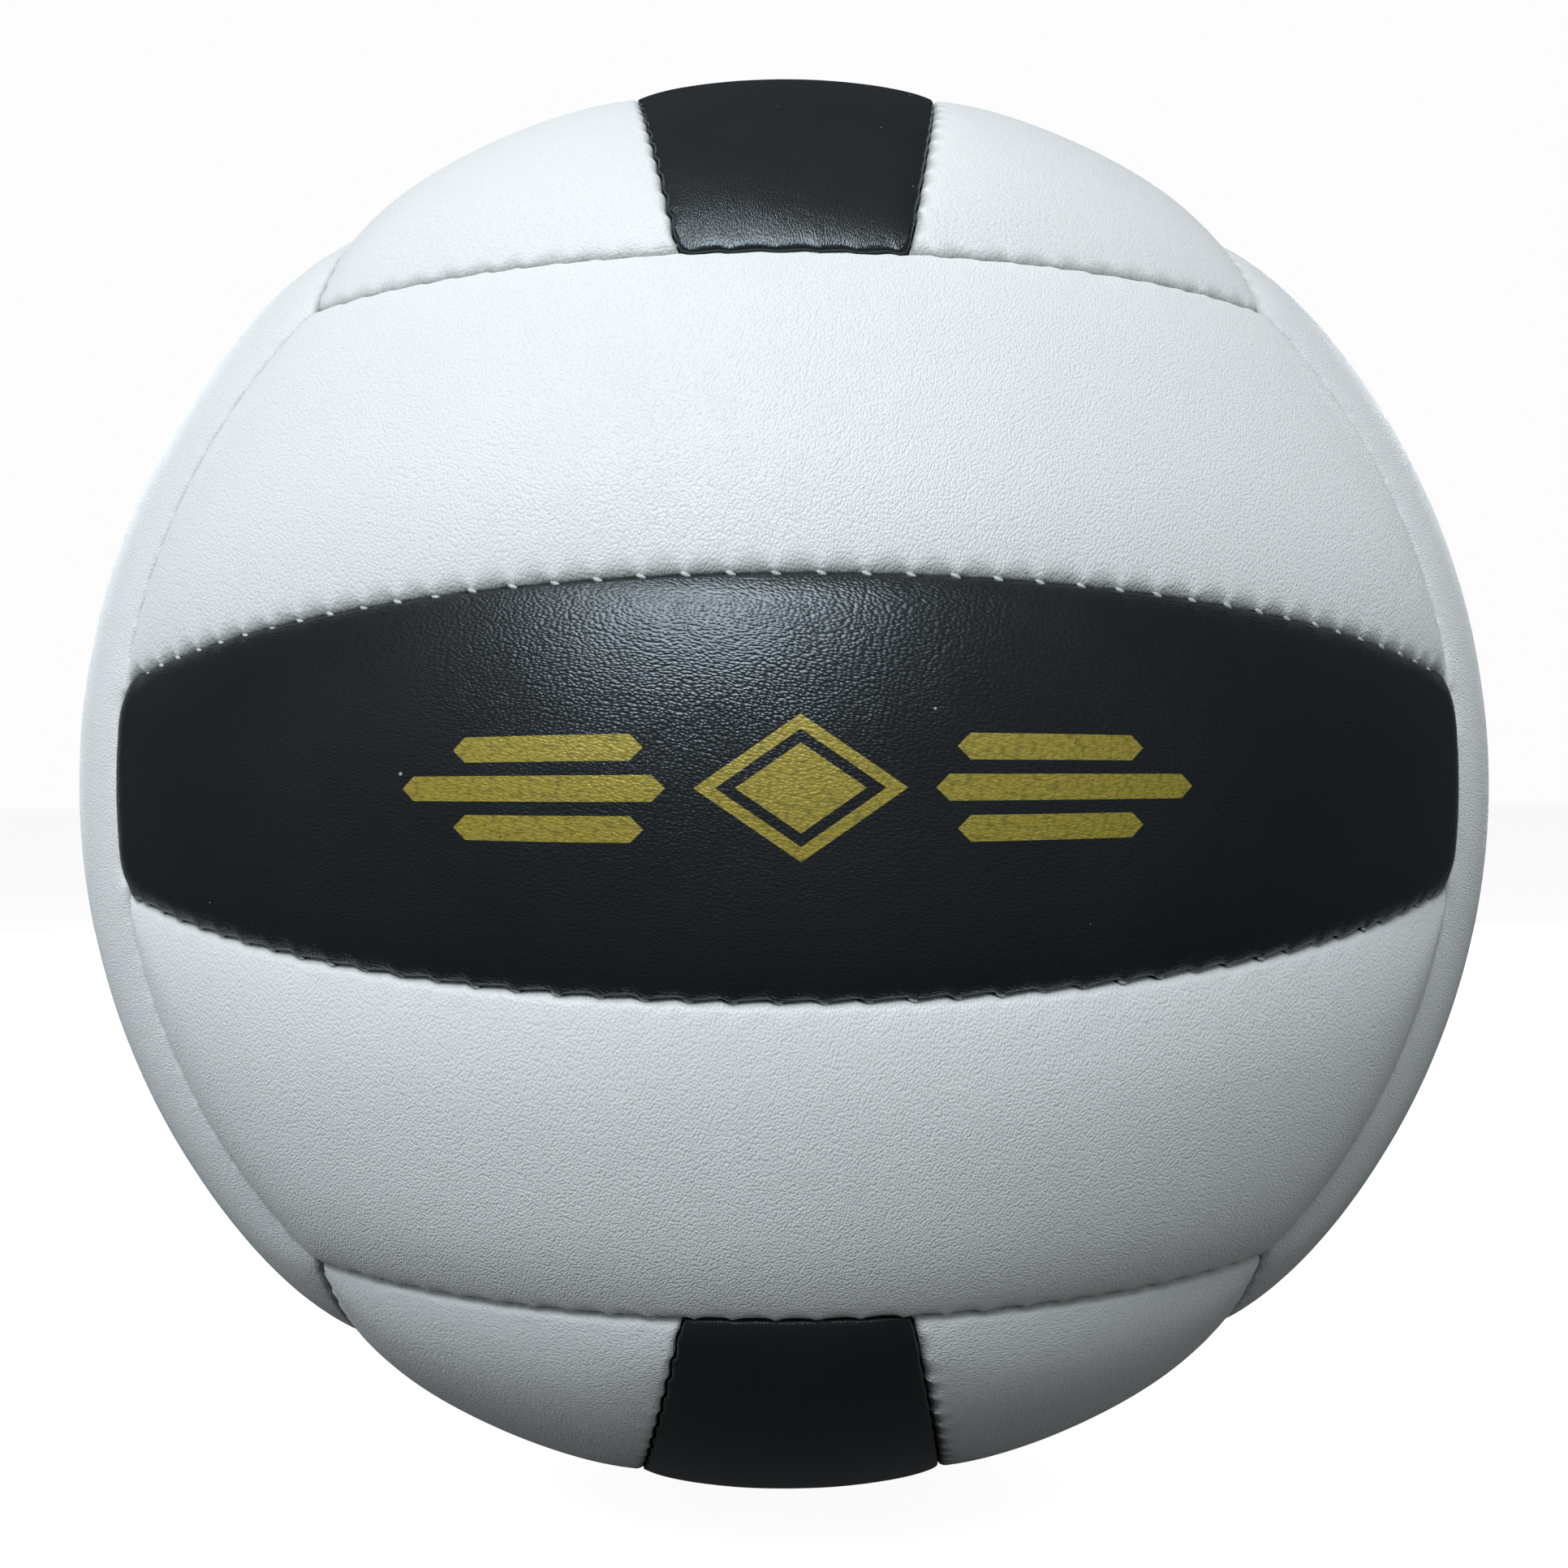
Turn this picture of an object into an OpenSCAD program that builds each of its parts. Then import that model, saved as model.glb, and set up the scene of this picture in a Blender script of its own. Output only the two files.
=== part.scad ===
// Stitched volleyball: eighteen panels in six sets of three strips.
// The origin is the ball's centre, +Z is up and the front set faces -Y. Lengths are in millimetres.

/* [Ball] */
// Diameter over the crowns of the panels
ball_d = 210; // [190:1:230]
// Angle that the middle strip of a set spans, seen from the ball's centre
middle_angle = 24.4; // [18:0.2:30]

/* [Cover panels] */
// Thickness of the synthetic leather
skin_t = 1.3; // [0.8:0.1:1.8]
// Width of the rolled edge, from the seam to the crown
edge_w = 3.2; // [2.4:0.1:4.2]
// How far the edge drops below the crown at the seam
edge_drop = 2; // [1.4:0.1:2.4]
// Gap between the turned-in edges of two panels
seam_gap = 0.2; // [0.1:0.05:0.4]

/* [Padding] */
// Thickness of the foam behind a panel
foam_t = 2.5; // [1.8:0.1:4]
// Thickness of the cloth behind the foam
cloth_t = 0.6; // [0.4:0.1:1]
// Clearance between glued layers
layer_gap = 0.1; // [0.05:0.05:0.2]

/* [Sewing thread] */
// Diameter of the thread
thread_d = 0.8; // [0.5:0.1:1]
// Distance from the end of a thread to the seam that it meets
thread_end = 1.2; // [1:0.1:1.5]

/* [Bladder] */
// Wall of the bladder
bladder_t = 1; // [0.6:0.1:1.6]
// Diameter of the patch that balances the valve
balance_d = 26; // [18:1:36]
// Thickness of the balance patch
balance_t = 1.5; // [0.8:0.1:2.5]

/* [Valve] */
// Diameter of the needle channel
needle_d = 2.2; // [1.8:0.1:2.6]
// Length of the needle channel's straight wall
needle_l = 13; // [9:0.5:14]
// Diameter of the valve core's head
head_d = 6.8; // [6:0.1:8.5]
// Thickness of the valve core's head
head_t = 2.6; // [2:0.1:3.2]
// Depth of the head below the crown
head_recess = 0.6; // [0.3:0.1:1]
// Diameter of the valve core's stem
stem_d = 4.8; // [4:0.1:5.6]
// Length of the stem that the seat grips
stem_l = 12; // [9:0.5:15]
// Clearance round the valve core in its seat
core_gap = 0.1; // [0.05:0.05:0.15]
// Gap round the head in the panel's hole
rim_gap = 0.6; // [0.3:0.1:1]
// Wall of the seat's neck round the head
neck_wall = 2; // [1.5:0.1:3]
// Width of the seat's flange round the neck
flange_w = 8.5; // [6:0.5:12]
// Thickness of the seat's flange
flange_t = 1.5; // [1:0.1:2.5]
// Width of the cloth patch round the neck
patch_w = 6.5; // [4:0.5:10]

/* [Hidden] */
$fn = 96;
white_skin = "whitesmoke";
black_skin = [0.10, 0.11, 0.12];

// Overrun of a cut past the surface that it opens
overrun = 1;
// Angle at which the rolled edge meets the crown
crown_angle = 8;
// How deep the thread sinks into its channel, as a share of its diameter
thread_sink_share = 0.25;
// How far the mouth of the needle channel flares on each side, as a share of its diameter
mouth_flare_share = 0.4;
// How far the bulb stands out from the stem and how long it is, as shares of the stem's diameter
bulb_rise_share = 0.16;
bulb_l_share = 0.6;

// Radii of the layers, from the outside in
ball_r = ball_d / 2;
foam_r = ball_r - skin_t - layer_gap;
cloth_r = foam_r - foam_t - layer_gap;
bladder_r = cloth_r - cloth_t - layer_gap;
tuck_r = bladder_r + layer_gap;
liner_r = bladder_r - bladder_t - layer_gap;
reach = ball_d;

// Six sets close up at the corners of a cube, which lie at this latitude above each set's seams
corner_latitude = asin(1 / sqrt(3));
corner_angle = 90 - corner_latitude;
split = middle_angle / 2;

// Section of the rolled edge: an arc from the foot of the edge up to the crown
edge_chord = norm([edge_w, edge_drop]);
edge_slope = atan2(edge_drop, edge_w);
roll_r = edge_chord / (2 * sin(edge_slope - crown_angle));
crown_v = seam_gap / 2 + edge_w;
crown_u = sqrt(pow(ball_r, 2) - pow(crown_v, 2));
roll_v = crown_v + roll_r * sin(crown_angle);
roll_u = crown_u - roll_r * cos(crown_angle);
thread_u = ball_r - edge_drop - thread_sink_share * thread_d;

// Valve sizes, worked out from the core
neck_r = head_d / 2 + neck_wall;
neck_top = sqrt(pow(foam_r, 2) - pow(neck_r, 2));
mouth_top = ball_r - head_recess;
mouth_flare = mouth_flare_share * needle_d;
head_foot = mouth_top - head_t;
stem_foot = head_foot - stem_l;
bulb_rise = bulb_rise_share * stem_d;
bulb_l = bulb_l_share * stem_d;

// Seams of a set from its first to its last, as tilt round the strips and latitude.
// Latitude 0 is a flat cut through the centre, any other a cone.
seams = [[0, -corner_latitude], [-split, 0], [split, 0], [0, corner_latitude]];

// Name, turn from the front set, and strips between the seams from first to last
sets = [
    ["front", [0, 0, 0], ["lower", "middle", "upper"]],
    ["back", [0, 0, 180], ["lower", "middle", "upper"]],
    ["right", [90, -90, 0], ["rear", "middle", "front"]],
    ["left", [90, -90, 180], ["front", "middle", "rear"]],
    ["top", [-90, 0, 90], ["right", "middle", "left"]],
    ["bottom", [90, 0, 90], ["left", "middle", "right"]],
];
middle = 1;
valve_set = sets[1];

function strip_name(set, strip, what) = str(set[0], "_", set[2][strip], "_", what);
function set_name(set, what) = str(set[0], "_", what);
function strip_names(what) = [for (set = sets, strip = [0 : 2]) strip_name(set, strip, what)];
function set_names(what) = [for (set = sets) set_name(set, what)];
function has_valve(set, strip) = set == valve_set && strip == middle;

// Places and axes

module in_set(set)
    rotate(set[1]) children();

module to_strip_ends()
    rotate([90, 0, 0]) rotate([0, 0, 90]) children();

module to_valve()
    rotate([-90, 0, 0]) children();

module in_seam(seam)
    rotate([-seam[0], 0, 0]) children();

// Sections of a seam. X runs out along the seam's own surface and Y away from it over the panel.
// Inset is how far a layer keeps from the outside of its panel's skin.

module rolled_edge_section(inset)
    difference() {
        translate([roll_u, -overrun]) square([ball_r + overrun - roll_u, roll_v + overrun]);
        translate([roll_u, roll_v]) circle(r = roll_r - inset);
    }

module thread_section(gap)
    translate([thread_u, 0]) circle(r = thread_d / 2 + gap);

// Cutters, on the side of a seam that is away from its panel

module past_seam(seam, side, inset) {
    flat = seam[1] == 0;
    start_u = flat ? 0 : ball_r / 2;
    depth = flat ? reach : ball_r / 2;
    in_seam(seam)
        rotate_extrude() rotate(seam[1]) mirror([0, side < 0 ? 1 : 0])
            translate([start_u, -depth]) square([reach, depth + seam_gap / 2 + inset]);
}

module past_ends(inset) {
    wall = seam_gap / 2 + inset;
    along = [cos(corner_latitude), sin(corner_latitude)];
    away = [-sin(corner_latitude), cos(corner_latitude)];
    near = ball_r / 2 * along + wall * away;
    far = reach * along + wall * away;
    to_strip_ends()
        rotate_extrude() polygon([[0, near[1]], near, far, [far[0], -reach], [0, -reach]]);
}

module past_rolled_edge(latitude, side, inset)
    rotate_extrude() rotate(latitude) mirror([0, side < 0 ? 1 : 0]) rolled_edge_section(inset);

// Layers of the front set between two radii. Each cut is a step of its own, square sides first.

module set_cap(inset, outer_r, inner_r)
    difference() {
        difference() {
            sphere(r = outer_r);
            sphere(r = inner_r);
        }
        past_ends(inset);
    }

module square_strip(strip, inset, outer_r, inner_r)
    difference() {
        difference() {
            set_cap(inset, outer_r, inner_r);
            past_seam(seams[strip], 1, inset);
        }
        past_seam(seams[strip + 1], -1, inset);
    }

module rolled_strip(strip, inset, outer_r, inner_r)
    difference() {
        difference() {
            difference() {
                square_strip(strip, inset, outer_r, inner_r);
                in_seam(seams[strip]) past_rolled_edge(seams[strip][1], 1, inset);
            }
            in_seam(seams[strip + 1]) past_rolled_edge(seams[strip + 1][1], -1, inset);
        }
        to_strip_ends() past_rolled_edge(corner_latitude, 1, inset);
    }

// Threads, and with a gap the channels that they lie in

function seam_angle(latitude) = latitude == 0 ? 2 * acos(cos(corner_angle) / cos(split)) : 90;
function end_angle(latitude, end) = end / (thread_u * cos(latitude)) * 180 / PI;

module thread_arc(seam, gap) {
    span = seam_angle(seam[1]) - 2 * end_angle(seam[1], thread_end - gap);
    in_seam(seam)
        rotate_extrude(angle = span, start = -90 - span / 2) rotate(seam[1]) thread_section(gap);
}

module end_thread_arc(turn, gap)
    rotate([0, turn, 0]) to_strip_ends() thread_arc(seams[3], gap);

module valve_hole(r)
    to_valve() cylinder(h = reach, r = r);

// Sub-parts

module cover_panel(set, strip)
    color(strip == middle ? black_skin : white_skin)
        difference() {
            in_set(set) difference() {
                difference() {
                    rolled_strip(strip, 0, ball_r, tuck_r);
                    rolled_strip(strip, skin_t, ball_r - skin_t, tuck_r - overrun);
                }
                thread_arc(seams[strip], layer_gap);
                thread_arc(seams[strip + 1], layer_gap);
                end_thread_arc(0, layer_gap);
                end_thread_arc(180, layer_gap);
            }
            if (has_valve(set, strip)) valve_hole(head_d / 2 + rim_gap);
        }

module foam_pad(set, strip)
    color("lightyellow")
        difference() {
            in_set(set) rolled_strip(strip, skin_t + layer_gap, foam_r, foam_r - foam_t);
            if (has_valve(set, strip)) valve_hole(neck_r + layer_gap);
        }

module cloth_lining(set)
    color("linen")
        for (strip = [0 : 2])
            difference() {
                in_set(set) square_strip(strip, skin_t + layer_gap, cloth_r, cloth_r - cloth_t);
                if (has_valve(set, strip)) valve_hole(neck_r + patch_w + layer_gap);
            }

module seam_thread(set)
    color("gainsboro")
        in_set(set)
            for (seam = seams) thread_arc(seam, 0);

module bladder()
    color("dimgray")
        difference() {
            sphere(r = bladder_r);
            sphere(r = bladder_r - bladder_t);
            valve_hole(neck_r + layer_gap);
        }

// A round piece of a layer about +Z
module round_patch(outer_r, thickness, radius)
    intersection() {
        difference() {
            sphere(r = outer_r);
            sphere(r = outer_r - thickness);
        }
        cylinder(h = reach, r = radius);
    }

module balance_patch()
    color("dimgray")
        rotate([180, 0, 0]) to_valve() round_patch(liner_r, balance_t, balance_d / 2);

module valve_patch()
    color("linen")
        difference() {
            to_valve() round_patch(cloth_r, cloth_t, neck_r + patch_w);
            valve_hole(neck_r + layer_gap);
        }

module valve_seat()
    color("dimgray")
        to_valve() difference() {
            union() {
                round_patch(liner_r, flange_t, neck_r + flange_w);
                translate([0, 0, stem_foot]) cylinder(h = neck_top - stem_foot, r = neck_r);
            }
            translate([0, 0, head_foot - core_gap]) cylinder(h = reach, r = head_d / 2 + core_gap);
            translate([0, 0, stem_foot - overrun]) cylinder(h = reach, r = stem_d / 2 + core_gap);
        }

module valve_core()
    color("black")
        to_valve() difference() {
            union() {
                translate([0, 0, head_foot]) cylinder(h = head_t, r = head_d / 2);
                translate([0, 0, stem_foot - core_gap - bulb_l / 2])
                    cylinder(h = stem_l + core_gap + bulb_l / 2, r = stem_d / 2);
                translate([0, 0, stem_foot - core_gap - bulb_l])
                    cylinder(h = bulb_l, r1 = stem_d / 2 - bulb_rise, r2 = stem_d / 2 + bulb_rise);
            }
            translate([0, 0, mouth_top - mouth_flare - needle_l]) cylinder(h = reach, r = needle_d / 2);
            translate([0, 0, mouth_top - mouth_flare])
                cylinder(h = 2 * mouth_flare, r1 = needle_d / 2, r2 = needle_d / 2 + 2 * mouth_flare);
        }

for (set = sets, strip = [0 : 2]) {
    cover_panel(set, strip);
    foam_pad(set, strip);
}
for (set = sets) {
    cloth_lining(set);
    seam_thread(set);
}
bladder();
balance_patch();
valve_seat();
valve_core();
valve_patch();
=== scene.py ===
# Stitched volleyball: eighteen leather panels in six crossed sets of three strips, sewn edge to edge.
# Metres throughout. The ball's centre is the origin and the front set faces -Y.
import math
import bmesh
import bpy
import numpy as np
from mathutils import Euler, Matrix, Vector


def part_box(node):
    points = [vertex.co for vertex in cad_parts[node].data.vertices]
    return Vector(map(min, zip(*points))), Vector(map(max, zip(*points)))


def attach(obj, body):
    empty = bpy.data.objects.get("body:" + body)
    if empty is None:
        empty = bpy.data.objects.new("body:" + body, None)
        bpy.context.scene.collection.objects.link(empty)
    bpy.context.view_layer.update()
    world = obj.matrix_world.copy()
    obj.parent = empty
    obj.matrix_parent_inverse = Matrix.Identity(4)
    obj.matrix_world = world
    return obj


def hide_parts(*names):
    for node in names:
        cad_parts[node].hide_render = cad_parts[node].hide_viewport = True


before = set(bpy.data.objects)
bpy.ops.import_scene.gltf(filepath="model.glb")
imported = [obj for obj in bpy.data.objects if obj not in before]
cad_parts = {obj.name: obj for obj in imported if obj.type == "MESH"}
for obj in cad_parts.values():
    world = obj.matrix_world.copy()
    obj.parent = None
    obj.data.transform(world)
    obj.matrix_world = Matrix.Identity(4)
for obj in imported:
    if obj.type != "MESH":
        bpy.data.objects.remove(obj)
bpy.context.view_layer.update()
scene = bpy.context.scene
mm = 0.001

ball = {
    "radius": -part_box("front_middle_panel")[0].y,
    "middleAngle": 24.4,        # degrees that a middle strip spans, from the centre
    "stitchesInside": 42,       # along a seam between two strips of one set
    "stitchesBorder": 28,       # along a seam between two sets
}
sets = {                        # turn from the front set, and its strips from first to last
    "front": ((0, 0, 0), ("lower", "middle", "upper")),
    "back": ((0, 0, 180), ("lower", "middle", "upper")),
    "right": ((90, -90, 0), ("rear", "middle", "front")),
    "left": ((90, -90, 180), ("front", "middle", "rear")),
    "top": ((-90, 0, 90), ("right", "middle", "left")),
    "bottom": ((90, 0, 90), ("left", "middle", "right")),
}
middle = 1                      # the black strip's place in its set
third = 1 / math.sqrt(3)        # the sets meet on circles this far from the centre, in radii
cornerLatitude = math.asin(third)
split = math.radians(ball["middleAngle"] / 2)
splitTurn = math.asin(math.tan(split) / math.sqrt(2))
print("frame loaded, ball radius", ball["radius"])


# Node wiring, for geometry trees and shaders alike

class Wiring:
    def __init__(self, tree):
        self.tree = tree

    def feed(self, socket, value):
        if isinstance(value, bpy.types.NodeSocket):
            self.tree.links.new(value, socket)
        elif value is not None:
            socket.default_value = value

    def add(self, kind, inputs=None, **settings):
        node = self.tree.nodes.new(kind)
        for name, value in settings.items():
            setattr(node, name, value)
        for key, value in (inputs or {}).items():
            self.feed(node.inputs[key], value)
        return node

    def calc(self, operation, *values, clamp=False):
        node = self.add("ShaderNodeMath", operation=operation, use_clamp=clamp)
        for socket, value in zip(node.inputs, values):
            self.feed(socket, value)
        return node.outputs[0]

    def plus(self, *values):
        total = values[0]
        for value in values[1:]:
            total = self.calc("ADD", total, value)
        return total

    def times(self, *values):
        total = values[0]
        for value in values[1:]:
            total = self.calc("MULTIPLY", total, value)
        return total

    def part(self, low, high, share):           # low at no share, high at all of it
        return self.plus(low, self.times(share, self.calc("SUBTRACT", high, low)))

    def fade(self, distance, reach):            # 1 at the seam, falling away over reach
        share = self.calc("DIVIDE", distance, reach)
        return self.calc("EXPONENT", self.calc("MULTIPLY", self.calc("MULTIPLY", share, share), -1.0))

    def vector(self, operation, *values, out=0):
        node = self.add("ShaderNodeVectorMath", operation=operation)
        places = [s for s in node.inputs if s.enabled]
        for socket, value in zip(places, values):
            self.feed(socket, value)
        return node.outputs[out]

    def scale(self, vector, factor):
        node = self.add("ShaderNodeVectorMath", operation="SCALE")
        self.feed(node.inputs[0], vector)
        self.feed(node.inputs["Scale"], factor)
        return node.outputs[0]

    def stored(self, name, kind="FLOAT"):
        return self.add("GeometryNodeInputNamedAttribute", {"Name": name}, data_type=kind).outputs[0]

    def noise(self, vector, scale, detail=1.0, dimensions="3D"):
        node = self.add("ShaderNodeTexNoise", {"Vector": vector, "Scale": scale, "Detail": detail},
                        noise_dimensions=dimensions)
        return node.outputs[0]


def newTree(name, kind, inputs, outputs):
    tree = bpy.data.node_groups.new(name, kind)
    for label, (socketKind, default) in inputs.items():
        socket = tree.interface.new_socket(label, in_out="INPUT", socket_type=socketKind)
        if default is not None:
            socket.default_value = default
    for label, socketKind in outputs.items():
        tree.interface.new_socket(label, in_out="OUTPUT", socket_type=socketKind)
    wiring = Wiring(tree)
    return wiring, wiring.add("NodeGroupInput").outputs, wiring.add("NodeGroupOutput").inputs


def runTree(holder, tree, values, name):
    # sets the tree's named inputs, evaluates it once and keeps the plain mesh
    modifier = holder.modifiers.new(tree.name, "NODES")
    modifier.node_group = tree
    for item in tree.interface.items_tree:
        if item.item_type == "SOCKET" and item.in_out == "INPUT" and item.name in values:
            modifier[item.identifier] = values[item.name]
    bpy.context.view_layer.update()
    made = bpy.data.meshes.new_from_object(holder.evaluated_get(bpy.context.evaluated_depsgraph_get()))
    holder.modifiers.remove(modifier)
    bpy.data.objects.remove(holder)
    made.name = name
    piece = bpy.data.objects.new(name, made)
    scene.collection.objects.link(piece)
    return piece


def floatSockets(values):
    return {name: ("NodeSocketFloat", value) for name, value in values.items()}


# Shape of a strip on the unit sphere, in its set's own frame: X along the strips, -Y outwards

def unit(vectors):
    return vectors / np.maximum(np.linalg.norm(vectors, axis=-1, keepdims=True), 1e-9)


def smooth(low, high, value):
    share = np.clip((value - low) / (high - low), 0, 1)
    return share * share * (3 - 2 * share)


def closeSteps(length, fine, coarse, growth):
    # shares from 0 to 1 that lie closer together towards both ends
    half = [0.0]
    while half[-1] < length / 2:
        half.append(half[-1] + min(coarse, fine + growth * half[-1]))
    near = np.array(half) / half[-1] / 2
    return np.concatenate([near, 1 - near[-2::-1]])


stripTilts = [(-cornerLatitude, -split), (-split, split), (split, cornerLatitude)]
stripTurns = [(-math.pi / 4, -splitTurn), (-splitTurn, splitTurn), (splitTurn, math.pi / 4)]


def stripPoints(strip, along, across):
    # each row is an arc through its own middle (tilt) and its two ends (turn on the end circle)
    tilt = np.interp(across, (0, 1), stripTilts[strip])[:, None]
    turn = np.interp(across, (0, 1), stripTurns[strip])[:, None]
    endRadius = math.sqrt(1 - third ** 2)
    mid = np.stack([-np.cos(tilt), np.sin(tilt)], -1)
    end = np.stack([np.full_like(turn, -third), endRadius * np.sin(turn)], -1)
    run = unit(mid - end)
    endReach = (end * run).sum(-1)
    foot = end - endReach[..., None] * run
    rowRadius = np.sqrt(1 - (foot ** 2).sum(-1))
    endAngle = np.arccos(np.clip(endReach / rowRadius, -1, 1))
    angle = endAngle * (2 * along[None, :] - 1)
    flat = foot + (rowRadius * np.cos(angle))[..., None] * run
    points = np.concatenate([(rowRadius * np.sin(angle))[..., None], flat], -1)
    leather = np.stack([rowRadius * angle, np.broadcast_to(tilt, angle.shape)], -1)
    return points, leather


# Seams. Each is a circle: a normal that points into the panel and its distance from the centre

upwards = np.array([0.37, -0.23, 0.9])      # decides which side of a seam counts as above it


def stripSeams(strip):
    lower, upper = (0, -math.sin(split), math.cos(split)), (0, math.sin(split), math.cos(split))
    normals = [(0, 0, 1), lower, upper, (0, 0, 1)]
    offsets = [-third, 0, 0, third]
    low = (np.array(normals[strip], float), offsets[strip])
    high = (-np.array(normals[strip + 1], float), -offsets[strip + 1])
    return [low, high, (np.array([0, -1.0, 0]), third)]


seamEnd = (0.3 * mm, 4 * mm)    # the stitches' pull grows between these distances from a seam's end


def wayOut(normal):
    # from the centre towards the middle of a seam that runs along X
    out = np.cross([1.0, 0, 0], normal)
    return -np.sign(out[1]) * out


def seamFacts(points, normal, offset, turn):
    # distance from the seam, place along it in stitches, and how far the stitch pulls there
    radius = ball["radius"]
    ends = abs(normal[1]) == 1
    inside = offset == 0
    if ends:
        side = np.sign(points[:, 0]) + (points[:, 0] == 0)
        outwards = side[:, None] * np.array([1.0, 0, 0])
        axis = np.array([0, 0, 1.0])
    else:
        outwards = np.broadcast_to(wayOut(normal), points.shape)
        axis = np.array([1.0, 0, 0])
    angle = np.arctan2(points @ axis, (points * outwards).sum(-1))
    circle = math.sqrt(1 - offset ** 2)
    foot = normal * offset + circle * (np.cos(angle)[:, None] * outwards + np.sin(angle)[:, None] * axis)
    if inside:
        halfAngle = math.acos(third / math.cos(split))
        stitches = ball["stitchesInside"]
        toEnd = (np.arcsin(np.clip(-foot[:, 1], -1, 1)) - cornerLatitude) * radius
    else:
        halfAngle = math.pi / 4
        stitches = ball["stitchesBorder"]
        toEnd = (halfAngle - np.abs(angle)) * circle * radius
    height = points @ normal
    axisSign = np.sign((turn @ axis).sum())
    return {
        "Distance": (np.arcsin(np.clip(height, -1, 1)) - math.asin(offset)) * radius,
        "Run": angle / halfAngle * stitches / 2 * axisSign,
        "Taper": smooth(*seamEnd, toEnd),
        "Side": np.full(len(points), np.sign((turn @ normal) @ upwards)),
        "Foot": foot @ turn.T,
        "Inward": unit(normal - height[:, None] * points) @ turn.T,
    }


def turnMatrix(degrees):
    return np.array(Euler([math.radians(a) for a in degrees]).to_matrix())


setTurns = {name: turnMatrix(turn) for name, (turn, strips) in sets.items()}

corner = {                      # a black corner is drawn in, and rounded by turning the seams that meet there
    "pull": 1.1 * mm, "pullAngle": 232.5,
    "reach": 3.6 * mm, "cutOff": 4,                     # the pull fades over its reach, and ends at 4 of them
    "from": (-75, 105, 180, 285), "to": (-42, 105, 147, 318),       # angles round the corner, in degrees
    "squareSets": ("top", "bottom"), "squareShare": 0.15,           # the corners there stay nearly square
}


def cornerFrames():
    # where a seam inside a set meets its border: the place, and the ways out along the strip and to the white
    places = []
    endAngle = math.acos(third / math.cos(split))
    endCos, endSin = math.cos(endAngle), math.sin(endAngle)
    for setName, turn in setTurns.items():
        strength = corner["squareShare"] if setName in corner["squareSets"] else 1.0
        for tiltSign in (-1, 1):
            tiltCos, tiltSin = math.cos(tiltSign * split), math.sin(tiltSign * split)
            for side in (-1, 1):
                place = np.array([side * endSin, -endCos * tiltCos, endCos * tiltSin])
                outward = np.array([side * endCos, endSin * tiltCos, -endSin * tiltSin])
                toWhite = tiltSign * np.array([0, tiltSin, tiltCos])
                places.append([turn @ v for v in (place, outward, toWhite)] + [strength])
    return places


def drawCorners(directions):
    # the same smooth move for every panel, so that neighbours still meet
    moved = directions.copy()
    radius = ball["radius"]
    pullAngle = math.radians(corner["pullAngle"])
    for place, outward, toWhite, strength in cornerFrames():
        offset = directions - place
        a, b = offset @ outward * radius, offset @ toWhite * radius
        gap = np.linalg.norm(offset, axis=1) * radius
        share = strength * np.exp(-(gap / corner["reach"]) ** 2)
        share[gap > corner["cutOff"] * corner["reach"]] = 0
        angle = (np.degrees(np.arctan2(b, a)) - corner["from"][0]) % 360 + corner["from"][0]
        newAngle = np.radians(angle + (np.interp(angle, corner["from"], corner["to"]) - angle) * share)
        angle = np.radians(angle)
        out = gap * (np.cos(newAngle) - np.cos(angle)) + corner["pull"] * math.cos(pullAngle) * share
        over = gap * (np.sin(newAngle) - np.sin(angle)) + corner["pull"] * math.sin(pullAngle) * share
        moved += (out[:, None] * outward + over[:, None] * toWhite) / radius
    return unit(moved)


# One leather panel: a fine skin, turned-in edges and a plain back, closed all round

sheet = {
    "fine": 0.07 * mm, "growth": 0.17,                  # steps at the seams, and how they widen
    "coarseAlong": 0.46 * mm, "coarseAcross": 0.75 * mm,
    "wallSteps": (0.4 * mm, 0.9 * mm, 1.5 * mm),        # turned-in edge, below the seam
    "thickness": 1.3 * mm, "edgeThickness": 1.4 * mm,
    "rollStep": 60.0,                                   # mm: each panel has its own place on the roll
    "backAlong": 56, "backAcross": 13,
    "backFoot": 3.6 * mm, "backShoulder": 2.4 * mm,     # depths of the back's edge
    "flatSeam": 0.45,                                   # seams inside a set dip less, save the front set's
}
stripLength = 190 * mm          # about a strip's own length and width, to space its steps
stripWidth = 42 * mm


def ringOf(rows, columns, first=0):
    grid = np.arange(rows * columns).reshape(rows, columns) + first
    return np.concatenate([grid[0, :-1], grid[:-1, -1], grid[-1, :0:-1], grid[:0:-1, 0]])


def gridQuads(rows, columns, first=0, flip=False):
    grid = np.arange(rows * columns).reshape(rows, columns) + first
    quads = np.stack([grid[:-1, :-1], grid[:-1, 1:], grid[1:, 1:], grid[1:, :-1]], -1).reshape(-1, 4)
    return [list(q) for q in (quads[:, ::-1] if flip else quads)]


def zipRings(fineRing, coarseRing, fineSides, coarseSides):
    # triangles between two loops whose four sides have their own counts
    faces = []
    fineRing, coarseRing = list(fineRing) + [fineRing[0]], list(coarseRing) + [coarseRing[0]]
    fineAt = coarseAt = 0
    for fineCount, coarseCount in zip(fineSides, coarseSides):
        f = c = 0
        while f < fineCount or c < coarseCount:
            a, b = fineRing[fineAt + f], coarseRing[coarseAt + c]
            if c == coarseCount or (f < fineCount and (f + 0.5) / fineCount <= (c + 0.5) / coarseCount):
                f += 1
                faces.append([fineRing[fineAt + f], a, b])
            else:
                c += 1
                faces.append([coarseRing[coarseAt + c], a, b])
        fineAt += fineCount
        coarseAt += coarseCount
    return faces


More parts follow.
